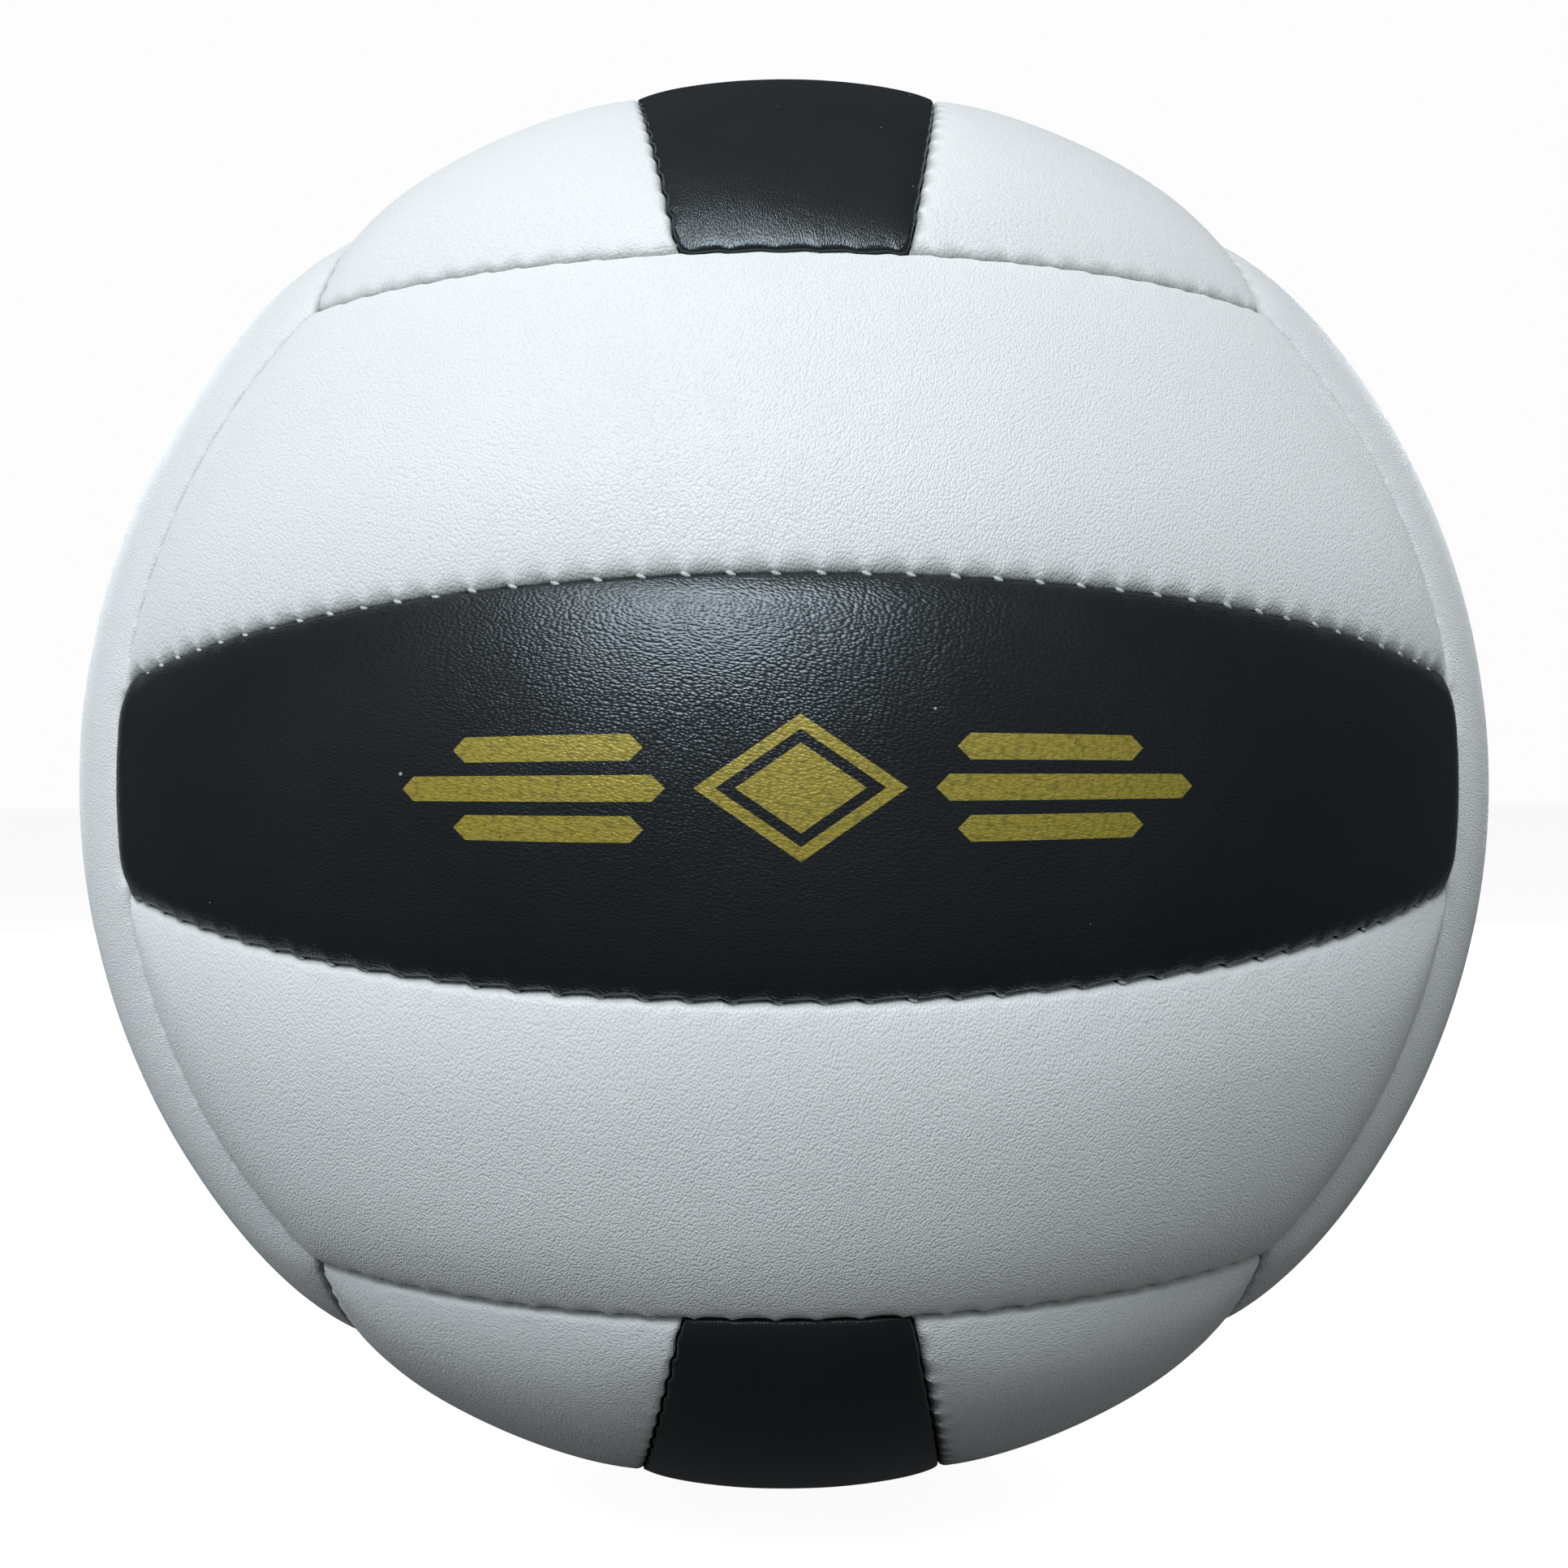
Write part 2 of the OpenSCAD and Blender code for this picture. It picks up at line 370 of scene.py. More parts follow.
def ringWall(upper, lower):
    following = np.roll(np.arange(len(upper)), -1)
    return [list(q) for q in np.stack([upper[following], upper, lower, lower[following]], -1)]


def backSteps(count, length):
    # shares across the back, which stands in from the skin's edge, with half steps at both ends
    steps = np.concatenate([[0, 0.5], np.arange(1, count), [count - 0.5, count]])
    inset = sheet["edgeThickness"] / length
    return inset + (1 - 2 * inset) * steps / count


def panelSheet(setName, strip, order):
    turn = setTurns[setName]
    radius = ball["radius"]
    along = closeSteps(stripLength, sheet["fine"], sheet["coarseAlong"], sheet["growth"])
    across = closeSteps(stripWidth, sheet["fine"], sheet["coarseAcross"], sheet["growth"])
    skin, leather = stripPoints(strip, along, across)
    rows, columns = len(across), len(along)
    skin = skin.reshape(-1, 3)
    leather = leather.reshape(-1, 2) * radius / mm
    leather[:, 1] += order * sheet["rollStep"]
    ring = ringOf(rows, columns)
    backAlong = backSteps(sheet["backAlong"], stripLength)
    backAcross = backSteps(sheet["backAcross"], stripWidth)
    back = stripPoints(strip, backAlong, backAcross)[0].reshape(-1, 3)
    backRows, backColumns = len(backAcross), len(backAlong)
    backRing = ringOf(backRows, backColumns)
    backDepth = np.full(len(back), sheet["thickness"])
    backDepth[backRing] = sheet["backShoulder"]

    directions = [skin]
    depths = [np.zeros(len(skin))]
    faces = gridQuads(rows, columns)
    lastRing = ring
    first = len(skin)
    for depth in sheet["wallSteps"]:
        directions.append(skin[ring])
        depths.append(np.full(len(ring), depth))
        nextRing = np.arange(len(ring)) + first
        faces += ringWall(lastRing, nextRing)
        lastRing = nextRing
        first += len(ring)
    skinCount = first
    directions.append(back[backRing])
    depths.append(np.full(len(backRing), sheet["backFoot"]))
    footRing = np.arange(len(backRing)) + first
    first += len(backRing)
    directions.append(back)
    depths.append(backDepth)
    shoulderRing = backRing + first
    sides = (columns - 1, rows - 1, columns - 1, rows - 1)
    backSides = (backColumns - 1, backRows - 1, backColumns - 1, backRows - 1)
    faces += zipRings(lastRing, footRing, sides, backSides)
    faces += ringWall(footRing, shoulderRing)
    faces += gridQuads(backRows, backColumns, first, flip=True)

    directions = np.concatenate(directions)
    depths = np.concatenate(depths)
    total = len(directions)
    mesh = bpy.data.meshes.new("sheet")
    moved = drawCorners(directions @ turn.T)
    places = moved * (radius - depths)[:, None]
    mesh.from_pydata(places.tolist(), [], faces)
    addAttribute(mesh, "skin", (np.arange(total) < skinCount).astype(float))
    for index, (normal, offset) in enumerate(stripSeams(strip)):
        flatter = offset == 0 and setName != "front"
        addAttribute(mesh, f"seamDrop{index}", np.full(total, sheet["flatSeam"] if flatter else 1.0))
        for fact, values in seamFacts(directions, normal, offset, turn).items():
            addAttribute(mesh, f"seam{fact}{index}", values)
    flat = np.zeros((total, 3))
    flat[:len(skin), :2] = leather
    flat[len(skin):skinCount, :2] = np.tile(leather[ring], (len(sheet["wallSteps"]), 1))
    addAttribute(mesh, "leather", flat)
    holder = bpy.data.objects.new("sheet", mesh)
    scene.collection.objects.link(holder)
    return holder


def addAttribute(mesh, name, values):
    values = np.asarray(values, np.float32)
    kind, field = ("FLOAT_VECTOR", "vector") if values.ndim == 2 else ("FLOAT", "value")
    mesh.attributes.new(name, kind, "POINT").data.foreach_set(field, values.ravel())


# The relief that sewing and padding give a panel

relief = {
    "Edge Width": 1.9 * mm, "Width Below": 0.55, "Edge Depth": 0.75 * mm, "Seam Gap": 0.2 * mm,
    "Scallop Above": 0.07 * mm, "Scallop Below": 0.17 * mm, "Scallop Reach": 1.6 * mm,
    "Hollow": 0.12, "Hollow Above": 0.55, "Least Width": 0.35,
    "Fold Depth": 0.34 * mm, "Fold Reach": 2.2 * mm, "Fold Lean": 420.0,
    "Crown Fall": 0.55 * mm, "Crown Reach": 2.8 * mm, "Belly": 1.4 * mm, "Belly Reach": 21 * mm,
    "Swell": 0.16 * mm, "Ripple": 0.035 * mm,
    "Dimple": 0.0, "Dimple Radius": 4 * mm,
    "Spare": 0.85 * mm,                                 # how far the skin sinks before the back goes with it
}
pull = {                        # how the stitches' pull changes along a seam
    "unevenScale": 23.0, "weakest": 0.3, "varies": 1.4,
    "wanderScale": 19.0, "wanderFrom": (3.0, 5.0, 7.0), "wander": 0.4,
    "countFrom": 60.5,                                  # keeps the count of stitches above zero
    "climb": 1.25, "drop": 4.6, "rounding": 0.35,       # a scallop climbs slowly and drops at its stitch
    "hollowPower": 0.6, "hollowFrom": -1.3,
    "gapReach": 1.0 * mm, "dipRounding": 0.6 * mm,
}
folds = {"along": 2.1, "across": 210.0, "sideStep": 3.7, "seamStep": 9.1, "detail": 2.0}
surface = {"swellScale": 60.0, "rippleScale": 420.0, "rippleDetail": 2.0, "dimpleEdge": 1.2 * mm}


def shapeTree(name, sizes, finish):
    # its inputs are the geometry, the sizes and a material
    inputs = {"Geometry": ("NodeSocketGeometry", None), **floatSockets(sizes)}
    inputs[finish] = ("NodeSocketMaterial", None)
    return newTree(name, "GeometryNodeTree", inputs, {"Geometry": "NodeSocketGeometry"})


def endTree(w, result, geometry, material):
    even = w.add("GeometryNodeSetShadeSmooth", {"Geometry": geometry})
    real = w.add("GeometryNodeRealizeInstances", {"Geometry": even.outputs[0]})
    clad = w.add("GeometryNodeSetMaterial", {"Geometry": real.outputs[0], "Material": material})
    w.feed(result["Geometry"], clad.outputs[0])
    return w.tree


def reliefTree():
    w, given, result = shapeTree("Panel relief", relief, "Leather")
    edge, shift, folded, rounded = None, None, None, None
    for seam in range(3):
        distance = w.calc("MAXIMUM", w.stored(f"seamDistance{seam}"), 0.0)
        side = w.stored(f"seamSide{seam}")
        foot = w.stored(f"seamFoot{seam}", "FLOAT_VECTOR")
        inward = w.stored(f"seamInward{seam}", "FLOAT_VECTOR")
        run = w.stored(f"seamRun{seam}")
        uneven = w.noise(foot, pull["unevenScale"])
        wander = w.noise(w.vector("ADD", foot, pull["wanderFrom"]), pull["wanderScale"])
        wandered = w.times(w.plus(wander, -0.5), pull["wander"])
        phase = w.calc("FRACT", w.plus(run, wandered, pull["countFrom"]))
        unevenPull = w.plus(pull["weakest"], w.times(uneven, pull["varies"]))
        strength = w.times(w.stored(f"seamTaper{seam}"), unevenPull)
        climb = w.times(phase, pull["climb"])
        drop = w.times(w.calc("SUBTRACT", 1.0, phase), pull["drop"])
        rise = w.calc("SMOOTH_MIN", climb, drop, pull["rounding"])
        wave = w.times(w.plus(w.times(rise, 2.0), -1.0), strength)
        arch = w.calc("MAXIMUM", w.calc("SINE", w.times(phase, math.pi)), 0.0)
        between = w.calc("POWER", arch, pull["hollowPower"])
        above = w.plus(w.times(side, 0.5), 0.5)
        scallop = w.part(given["Scallop Below"], given["Scallop Above"], above)
        pulled = w.times(scallop, wave, w.fade(distance, given["Scallop Reach"]), side)
        parted = w.times(given["Seam Gap"], w.fade(distance, pull["gapReach"]), 0.5)
        move = w.scale(inward, w.plus(pulled, parted))
        shift = move if shift is None else w.vector("ADD", shift, move)
        hollow = w.times(w.plus(w.times(between, 2.0), pull["hollowFrom"]), strength)
        amount = w.plus(given["Hollow"], w.times(above, given["Hollow Above"]))
        sideWidth = w.part(given["Width Below"], 1.0, above)
        puckered = w.calc("MAXIMUM", w.plus(1.0, w.times(amount, hollow)), given["Least Width"])
        width = w.times(given["Edge Width"], sideWidth, puckered)
        near = w.calc("SUBTRACT", 1.0, w.calc("DIVIDE", distance, width), clamp=True)
        cubed = w.times(near, near, near)
        edge = cubed if edge is None else w.plus(edge, cubed)
        fall = w.calc("EXPONENT", w.calc("DIVIDE", w.times(distance, -1.0), given["Crown Reach"]))
        slope = w.calc("SUBTRACT", 1.0, w.calc("DIVIDE", distance, given["Belly Reach"]), clamp=True)
        hang = w.plus(w.times(fall, given["Crown Fall"]), w.times(slope, slope, given["Belly"]))
        hang = w.times(hang, w.stored(f"seamDrop{seam}"))
        rounded = hang if rounded is None else w.calc("SMOOTH_MAX", rounded, hang, pull["dipRounding"])
        leaning = w.plus(w.times(run, folds["along"]), w.times(distance, given["Fold Lean"]))
        apart = w.plus(w.times(side, folds["sideStep"]), seam * folds["seamStep"])
        lanes = w.add("ShaderNodeCombineXYZ", {0: leaning, 1: w.times(distance, folds["across"]), 2: apart})
        crease = w.plus(w.noise(lanes.outputs[0], 1.0, folds["detail"]), -0.5)
        nearby = w.calc("EXPONENT", w.calc("DIVIDE", w.times(distance, -1.0), given["Fold Reach"]))
        fold = w.times(crease, nearby, w.stored(f"seamTaper{seam}"))
        folded = fold if folded is None else w.plus(folded, fold)
    rolled = w.calc("MINIMUM", w.calc("POWER", edge, 1 / 3), 1.0)
    lowered = w.calc("SUBTRACT", 1.0, w.calc("SQRT", w.calc("SUBTRACT", 1.0, w.times(rolled, rolled))))
    place = w.add("GeometryNodeInputPosition").outputs[0]
    swell = w.plus(w.noise(place, surface["swellScale"]), -0.5)
    ripple = w.plus(w.noise(place, surface["rippleScale"], surface["rippleDetail"]), -0.5)
    across = w.vector("LENGTH", w.vector("MULTIPLY", place, (1.0, 0.0, 1.0)), out=1)
    beyond = w.calc("MAXIMUM", w.calc("SUBTRACT", across, given["Dimple Radius"]), 0.0)
    dimple = w.fade(beyond, surface["dimpleEdge"])
    depth = w.plus(
        rounded,
        w.times(lowered, given["Edge Depth"]),
        w.times(folded, given["Fold Depth"]),
        w.times(w.calc("MAXIMUM", swell, 0.0), given["Swell"]),
        w.times(ripple, given["Ripple"]),
        w.times(given["Dimple"], dimple),
    )
    skin = w.stored("skin")
    backDepth = w.calc("MAXIMUM", w.calc("SUBTRACT", rounded, given["Spare"]), 0.0)
    sinking = w.plus(backDepth, w.times(skin, w.calc("SUBTRACT", depth, backDepth)))
    sunk = w.scale(w.vector("NORMALIZE", place), w.times(sinking, -1.0))
    offset = w.vector("ADD", w.scale(shift, skin), sunk)
    moved = w.add("GeometryNodeSetPosition", {"Geometry": given["Geometry"], "Offset": offset})
    shade = {"Geometry": moved.outputs[0], "Name": "seamShade", "Value": w.times(rolled, skin)}
    shaded = w.add("GeometryNodeStoreNamedAttribute", shade, data_type="FLOAT", domain="POINT")
    return endTree(w, result, shaded.outputs[0], given["Leather"])


def keepOnly(mesh, kept):
    for name in [a.name for a in mesh.attributes if a.name.startswith("seam") or a.name == "skin"]:
        if name not in kept:
            mesh.attributes.remove(mesh.attributes[name])


panelRelief = reliefTree()


def makePanel(setName, strip, order, leather, changes):
    name = f"{setName}_{sets[setName][1][strip]}_cover"
    values = {**relief, **changes, "Leather": leather}
    return runTree(panelSheet(setName, strip, order), panelRelief, values, name)


# Shader groups that the finishes share. Their places are in millimetres

def attribute(w, name):
    return w.add("ShaderNodeAttribute", attribute_name=name).outputs


def vectorGroup(name, values, outputs):
    inputs = {"Place": ("NodeSocketVector", None), **floatSockets(values)}
    return newTree(name, "ShaderNodeTree", inputs, {o: "NodeSocketFloat" for o in outputs})


pebble = {                      # places are in mm, and in pebbles once they are divided by the pitch
    "driftScale": 0.16, "unevenScale": 0.45,
    "cells": {"Smoothness": 0.45, "Randomness": 0.85},
    "steepness": 1.25, "flattest": 0.45, "valleyEdge": 1.6,
}


def grainGroup():
    # pebbles drawn out along one direction, in rows that wander
    values = {"Pitch": 0.4, "Stretch": 1.8, "Lean": 0.0, "Wander": 1.2}
    w, given, result = vectorGroup("Leather grain", values, ("Height", "Valley"))
    cloud = {"Vector": given["Place"], "Scale": pebble["driftScale"], "Detail": 1.0}
    drift = w.add("ShaderNodeTexNoise", cloud).outputs["Color"]
    wander = w.scale(w.vector("SUBTRACT", drift, (0.5, 0.5, 0.5)), given["Wander"])
    leaning = {"Vector": w.vector("ADD", given["Place"], wander), "Angle": given["Lean"]}
    turned = w.add("ShaderNodeVectorRotate", leaning, rotation_type="Z_AXIS")
    longer = w.times(given["Pitch"], given["Stretch"])
    cell = w.add("ShaderNodeCombineXYZ", {0: longer, 1: given["Pitch"], 2: given["Pitch"]}).outputs[0]
    spots = w.vector("DIVIDE", turned.outputs[0], cell)
    cells = {"Vector": spots, "Scale": 1.0, **pebble["cells"]}
    pebbles = w.add("ShaderNodeTexVoronoi", cells, feature="SMOOTH_F1", voronoi_dimensions="2D")
    uneven = w.noise(spots, pebble["unevenScale"], 2.0, "2D")
    dome = w.calc("SUBTRACT", 1.0, w.times(pebbles.outputs["Distance"], pebble["steepness"]), clamp=True)
    w.feed(result["Height"], w.times(dome, w.plus(pebble["flattest"], uneven)))
    w.feed(result["Valley"], w.calc("SUBTRACT", 1.0, w.times(dome, pebble["valleyEdge"]), clamp=True))
    return w.tree


def creaseGroup():
    # fine wrinkles, none of them long, with flattened tops
    values = {"Pitch": 2.2, "Sharpness": 3.0, "Top": 0.35, "Rounding": 0.3}
    w, given, result = vectorGroup("Fine wrinkles", values, ("Height",))
    cell = w.scale(given["Place"], w.calc("DIVIDE", 1.0, given["Pitch"]))
    bent = w.noise(cell, 1.0, 3.0)
    ridge = w.calc("ABSOLUTE", w.times(w.plus(bent, -0.5), given["Sharpness"]))
    w.feed(result["Height"], w.calc("SMOOTH_MIN", ridge, given["Top"], given["Rounding"]))
    return w.tree


soilingAndShade = {
    "detail": 3.0, "contrast": 1.6, "least": -0.3,
    # the darkening towards the seams: partly grime, partly painted shade
    "shadeAndGrimeScale": 22.0, "gather": 3.0, "leastShadeAndGrime": 0.35,
}


def soilAndShadeGroup():
    # what handling leaves: faint patches; and darkening that gathers towards the seams, partly grime and
    # partly painted shade in the seams' hollows
    w, given, result = vectorGroup("Soiling", {"Seam": 0.0, "Patch": 24.0}, ("Patches", "Shade And Grime"))
    cell = w.scale(given["Place"], w.calc("DIVIDE", 1.0, given["Patch"]))
    cloud = w.noise(cell, 1.0, soilingAndShade["detail"])
    patches = w.calc("MULTIPLY_ADD", cloud, soilingAndShade["contrast"], soilingAndShade["least"], clamp=True)
    w.feed(result["Patches"], patches)
    # darker towards the seams: painted shade in the rolled edges, with some grime
    fine = w.noise(cell, soilingAndShade["shadeAndGrimeScale"], 2.0)
    gathered = w.calc("POWER", given["Seam"], soilingAndShade["gather"])
    w.feed(result["Shade And Grime"], w.times(gathered, w.plus(soilingAndShade["leastShadeAndGrime"], fine)))
    return w.tree


def dustGroup():
    # single specks, one in a few cells
    w, given, result = vectorGroup("Dust specks", {"Spacing": 7.0, "Size": 0.03}, ("Specks",))
    cell = w.scale(given["Place"], w.calc("DIVIDE", 1.0, given["Spacing"]))
    spots = w.add("ShaderNodeTexVoronoi", {"Vector": cell, "Scale": 1.0}, voronoi_dimensions="3D")
    own = w.add("ShaderNodeSeparateColor", {"Color": spots.outputs["Color"]}).outputs[0]
    small = w.times(given["Size"], own)
    w.feed(result["Specks"], w.calc("LESS_THAN", spots.outputs["Distance"], small))
    return w.tree


grain, crease, soilAndShade, dust = grainGroup(), creaseGroup(), soilAndShadeGroup(), dustGroup()


# Finishes

def newMaterial(name, **settings):
    material = bpy.data.materials.new(name)
    material.use_nodes = True
    w = Wiring(material.node_tree)
    shader = material.node_tree.nodes["Principled BSDF"]
    for socket, value in settings.items():
        shader.inputs[socket].default_value = value
    return material, w, shader.inputs


def use(w, group, **inputs):
    node = w.add("ShaderNodeGroup", node_tree=group)
    for name, value in inputs.items():
        w.feed(node.inputs[name], value)
    return node.outputs


def blend(w, factor, first, second):
    node = w.add("ShaderNodeMix", data_type="RGBA")
    colours = [socket for socket in node.inputs if socket.type == "RGBA"]
    w.feed(node.inputs["Factor"], factor)
    w.feed(colours[0], first)
    w.feed(colours[1], second)
    return [socket for socket in node.outputs if socket.type == "RGBA"][0]


def bump(w, sockets, layers):
    # each layer is a height and how far it stands up, in metres
    normal = None
    for height, distance in layers:
        layer = {"Height": height, "Distance": distance, "Strength": 1.0, "Normal": normal}
        normal = w.add("ShaderNodeBump", layer).outputs[0]
    w.feed(sockets["Normal"], normal)


white = {
    # the dark grey-green is partly grime and partly painted shade: it darkens the seams' hollows and the
    # grain's valleys
    "colour": (0.825, 0.845, 0.86, 1), "worn": (0.77, 0.795, 0.795, 1), "shadeAndGrime": (0.16, 0.19, 0.175, 1),
    "wornShare": 0.5, "valleyShare": 0.10, "shadeAndGrimeShare": 0.75,
    "softness": 0.6,                                    # how evenly it scatters light
    "roughness": 0.40, "wornDulls": 0.08, "valleyDulls": 0.1,
    "pitch": 0.28, "stretch": 1.4, "lean": -1.25, "wander": 1.3, "grain": 0.078 * mm, "wrinkle": 0.016 * mm,
}
black = {
    "colour": (0.0105, 0.0120, 0.0130, 1), "worn": (0.015, 0.017, 0.018, 1), "edge": (0.060, 0.075, 0.068, 1),
    # the edge colour on the folded edge's crest: partly wear, partly a painted highlight where the crest
    # catches light
    "edgeFrom": 0.80, "edgeTo": 0.90, "edgeShare": 0.8,                 # a pale line along the folded edge
    "dust": (0.45, 0.47, 0.48, 1), "dustShare": 0.7,
    "sheen": (0.78, 0.91, 1.0, 1), "shine": 0.75,
    "roughness": 0.27, "wornDulls": 0.06, "dustDulls": 0.4,
    "pitch": 0.28, "stretch": 2.0, "lean": 0.20, "grain": 0.046 * mm, "wrinkle": 0.010 * mm,
}
plainGrain = {"pitch": 0.26, "grain": 0.034 * mm}      # the panels without the print are a little smoother


def leatherPlace(w):
    return attribute(w, "leather")["Vector"]


def makeWhiteLeather():
    material, w, sockets = newMaterial("white_leather", **{"Diffuse Roughness": white["softness"]})
    place = leatherPlace(w)
    seam = attribute(w, "seamShade")["Fac"]
    pebbles = use(w, grain, Place=place, Pitch=white["pitch"], Stretch=white["stretch"], Lean=white["lean"],
                  Wander=white["wander"])
    wrinkles = use(w, crease, Place=place)
    marksAndShade = use(w, soilAndShade, Place=place, Seam=seam)
    clean = blend(w, w.times(marksAndShade["Patches"], white["wornShare"]), white["colour"], white["worn"])
    # darker in the grain's valleys, in the dark grey-green colour: painted shade
    toned = blend(w, w.times(pebbles["Valley"], white["valleyShare"]), clean, white["shadeAndGrime"])
    # darker where the edge rolls into the seam: painted shade, with some grime
    seamShadeAndGrime = w.calc("MULTIPLY", marksAndShade["Shade And Grime"], white["shadeAndGrimeShare"], clamp=True)
    w.feed(sockets["Base Color"], blend(w, seamShadeAndGrime, toned, white["shadeAndGrime"]))
    wornDull = w.times(marksAndShade["Patches"], white["wornDulls"])
    valleyDull = w.times(pebbles["Valley"], white["valleyDulls"])
    w.feed(sockets["Roughness"], w.plus(white["roughness"], wornDull, valleyDull))
    bump(w, sockets, [(wrinkles["Height"], white["wrinkle"]), (pebbles["Height"], white["grain"])])
    return material


def makeBlackLeather(name, facts, printing=None):
    shine = {"Specular Tint": black["sheen"], "Specular IOR Level": black["shine"]}
    material, w, sockets = newMaterial(name, **shine)
    place = leatherPlace(w)
    seam = attribute(w, "seamShade")["Fac"]
    pebbles = use(w, grain, Place=place, Pitch=facts["pitch"], Stretch=black["stretch"], Lean=black["lean"])
    wrinkles = use(w, crease, Place=place)
    marksAndShade = use(w, soilAndShade, Place=place, Seam=seam)
    specks = use(w, dust, Place=place)["Specks"]
    colour = blend(w, marksAndShade["Patches"], black["colour"], black["worn"])
    # a pale line on the folded edge's crest: partly wear, partly painted highlight
    pastStart = w.calc("GREATER_THAN", seam, black["edgeFrom"])
    crest = w.times(pastStart, w.calc("LESS_THAN", seam, black["edgeTo"]))
    colour = blend(w, w.times(crest, black["edgeShare"]), colour, black["edge"])
    colour = blend(w, w.times(specks, black["dustShare"]), colour, black["dust"])
    dulled = w.times(marksAndShade["Patches"], black["wornDulls"])
    roughness = w.plus(black["roughness"], dulled, w.times(specks, black["dustDulls"]))
    layers = [(wrinkles["Height"], black["wrinkle"]), (pebbles["Height"], facts["grain"])]
    if printing:
        colour, roughness = printing(w, place, colour, roughness, sockets)
    w.feed(sockets["Base Color"], colour)
    w.feed(sockets["Roughness"], roughness)
    bump(w, sockets, layers)
    return material


badge = {                       # a printed device, in mm
    "gold": (0.375, 0.305, 0.048, 1), "shade": (0.20, 0.165, 0.03, 1),
    "outer": 7.35, "ring": 1.5, "ringGap": 1.35,        # central diamond and the ring round it
    "wide": 1.45,                                       # how much longer than high the diamond is
    "barsFrom": 13.5, "barsTo": 42.0, "barHalf": 1.35, "barGap": 1.45,
    "startStep": 2.2, "endStep": 6.0,                   # the outer bars start later and end sooner
    "valleys": 0.75, "metal": 0.25, "dulls": 0.12,
    "wearScale": 2.1, "wornAbove": 0.70, "wornOff": 0.85,
}
printGrain = {"Pitch": 0.62, "Stretch": 1.25, "Lean": 0.2, "Wander": 0.8}


def diamondBadge(w, place, colour, roughness, sockets):
    # a diamond in a ring, with three bars to each side, each with pointed ends
    axis = w.add("ShaderNodeSeparateXYZ", {0: place}).outputs
    along = w.calc("ABSOLUTE", axis[0])
    height = w.calc("ABSOLUTE", axis[1])
    halfRing = badge["ring"] / 2
    reach = w.plus(w.calc("DIVIDE", along, badge["wide"]), height)
    core = w.calc("LESS_THAN", reach, badge["outer"] - badge["ring"] - badge["ringGap"])
    ring = w.calc("LESS_THAN", w.calc("ABSOLUTE", w.plus(reach, halfRing - badge["outer"])), halfRing)
    mask = w.calc("MAXIMUM", core, ring)
    for row in (-1, 0, 1):
        start = badge["barsFrom"] + (badge["startStep"] if row else 0)
        end = badge["barsTo"] - (badge["endStep"] if row else 0)
        fromLine = w.calc("ABSOLUTE", w.plus(axis[1], -row * (badge["barHalf"] * 2 + badge["barGap"])))
        inRow = w.calc("LESS_THAN", fromLine, badge["barHalf"])
        afterStart = w.calc("GREATER_THAN", w.calc("SUBTRACT", along, fromLine), start)
        beforeEnd = w.calc("LESS_THAN", w.plus(along, fromLine), end)
        mask = w.calc("MAXIMUM", mask, w.times(inRow, afterStart, beforeEnd))
    coarse = use(w, grain, Place=place, **printGrain)
    valleys = w.calc("MULTIPLY", coarse["Valley"], badge["valleys"], clamp=True)
    gold = blend(w, valleys, badge["gold"], badge["shade"])
    worn = w.calc("GREATER_THAN", w.noise(place, badge["wearScale"], 4.0), badge["wornAbove"])
    mask = w.times(mask, w.calc("SUBTRACT", 1.0, w.times(worn, badge["wornOff"])))
    w.feed(sockets["Metallic"], w.times(mask, badge["metal"]))
    return blend(w, mask, colour, gold), w.plus(roughness, w.times(mask, badge["dulls"]))


def woven(name, colours, pitch, roughness, depth, dulls=0.06):
    material, w, sockets = newMaterial(name)
    place = w.scale(w.add("ShaderNodeTexCoord").outputs["Object"], 1 / mm)
    axis = w.add("ShaderNodeSeparateXYZ", {0: place}).outputs
    turns = math.pi / pitch
    threads = [w.calc("ABSOLUTE", w.calc("SINE", w.times(axis[i], turns))) for i in range(3)]
    weave = w.times(w.plus(*threads), 1 / 3)
    # the gaps' colour darkens the weave between the threads: painted shade
    w.feed(sockets["Base Color"], blend(w, weave, colours["gaps"], colours["threads"]))
    w.feed(sockets["Roughness"], w.plus(roughness, w.times(weave, dulls)))
    bump(w, sockets, [(weave, depth)])
    return material


def moulded(name, colours, roughness, depth, pitch=1.6, patch=9.0, dulls=0.12):
    material, w, sockets = newMaterial(name)
    place = w.scale(w.add("ShaderNodeTexCoord").outputs["Object"], 1 / mm)
    marksAndShade = use(w, soilAndShade, Place=place, Patch=patch)
    rough = use(w, crease, Place=place, Pitch=pitch)
    w.feed(sockets["Base Color"], blend(w, marksAndShade["Patches"], colours["clean"], colours["bloom"]))
    w.feed(sockets["Roughness"], w.plus(roughness, w.times(marksAndShade["Patches"], dulls)))
    bump(w, sockets, [(rough["Height"], depth)])
    return material


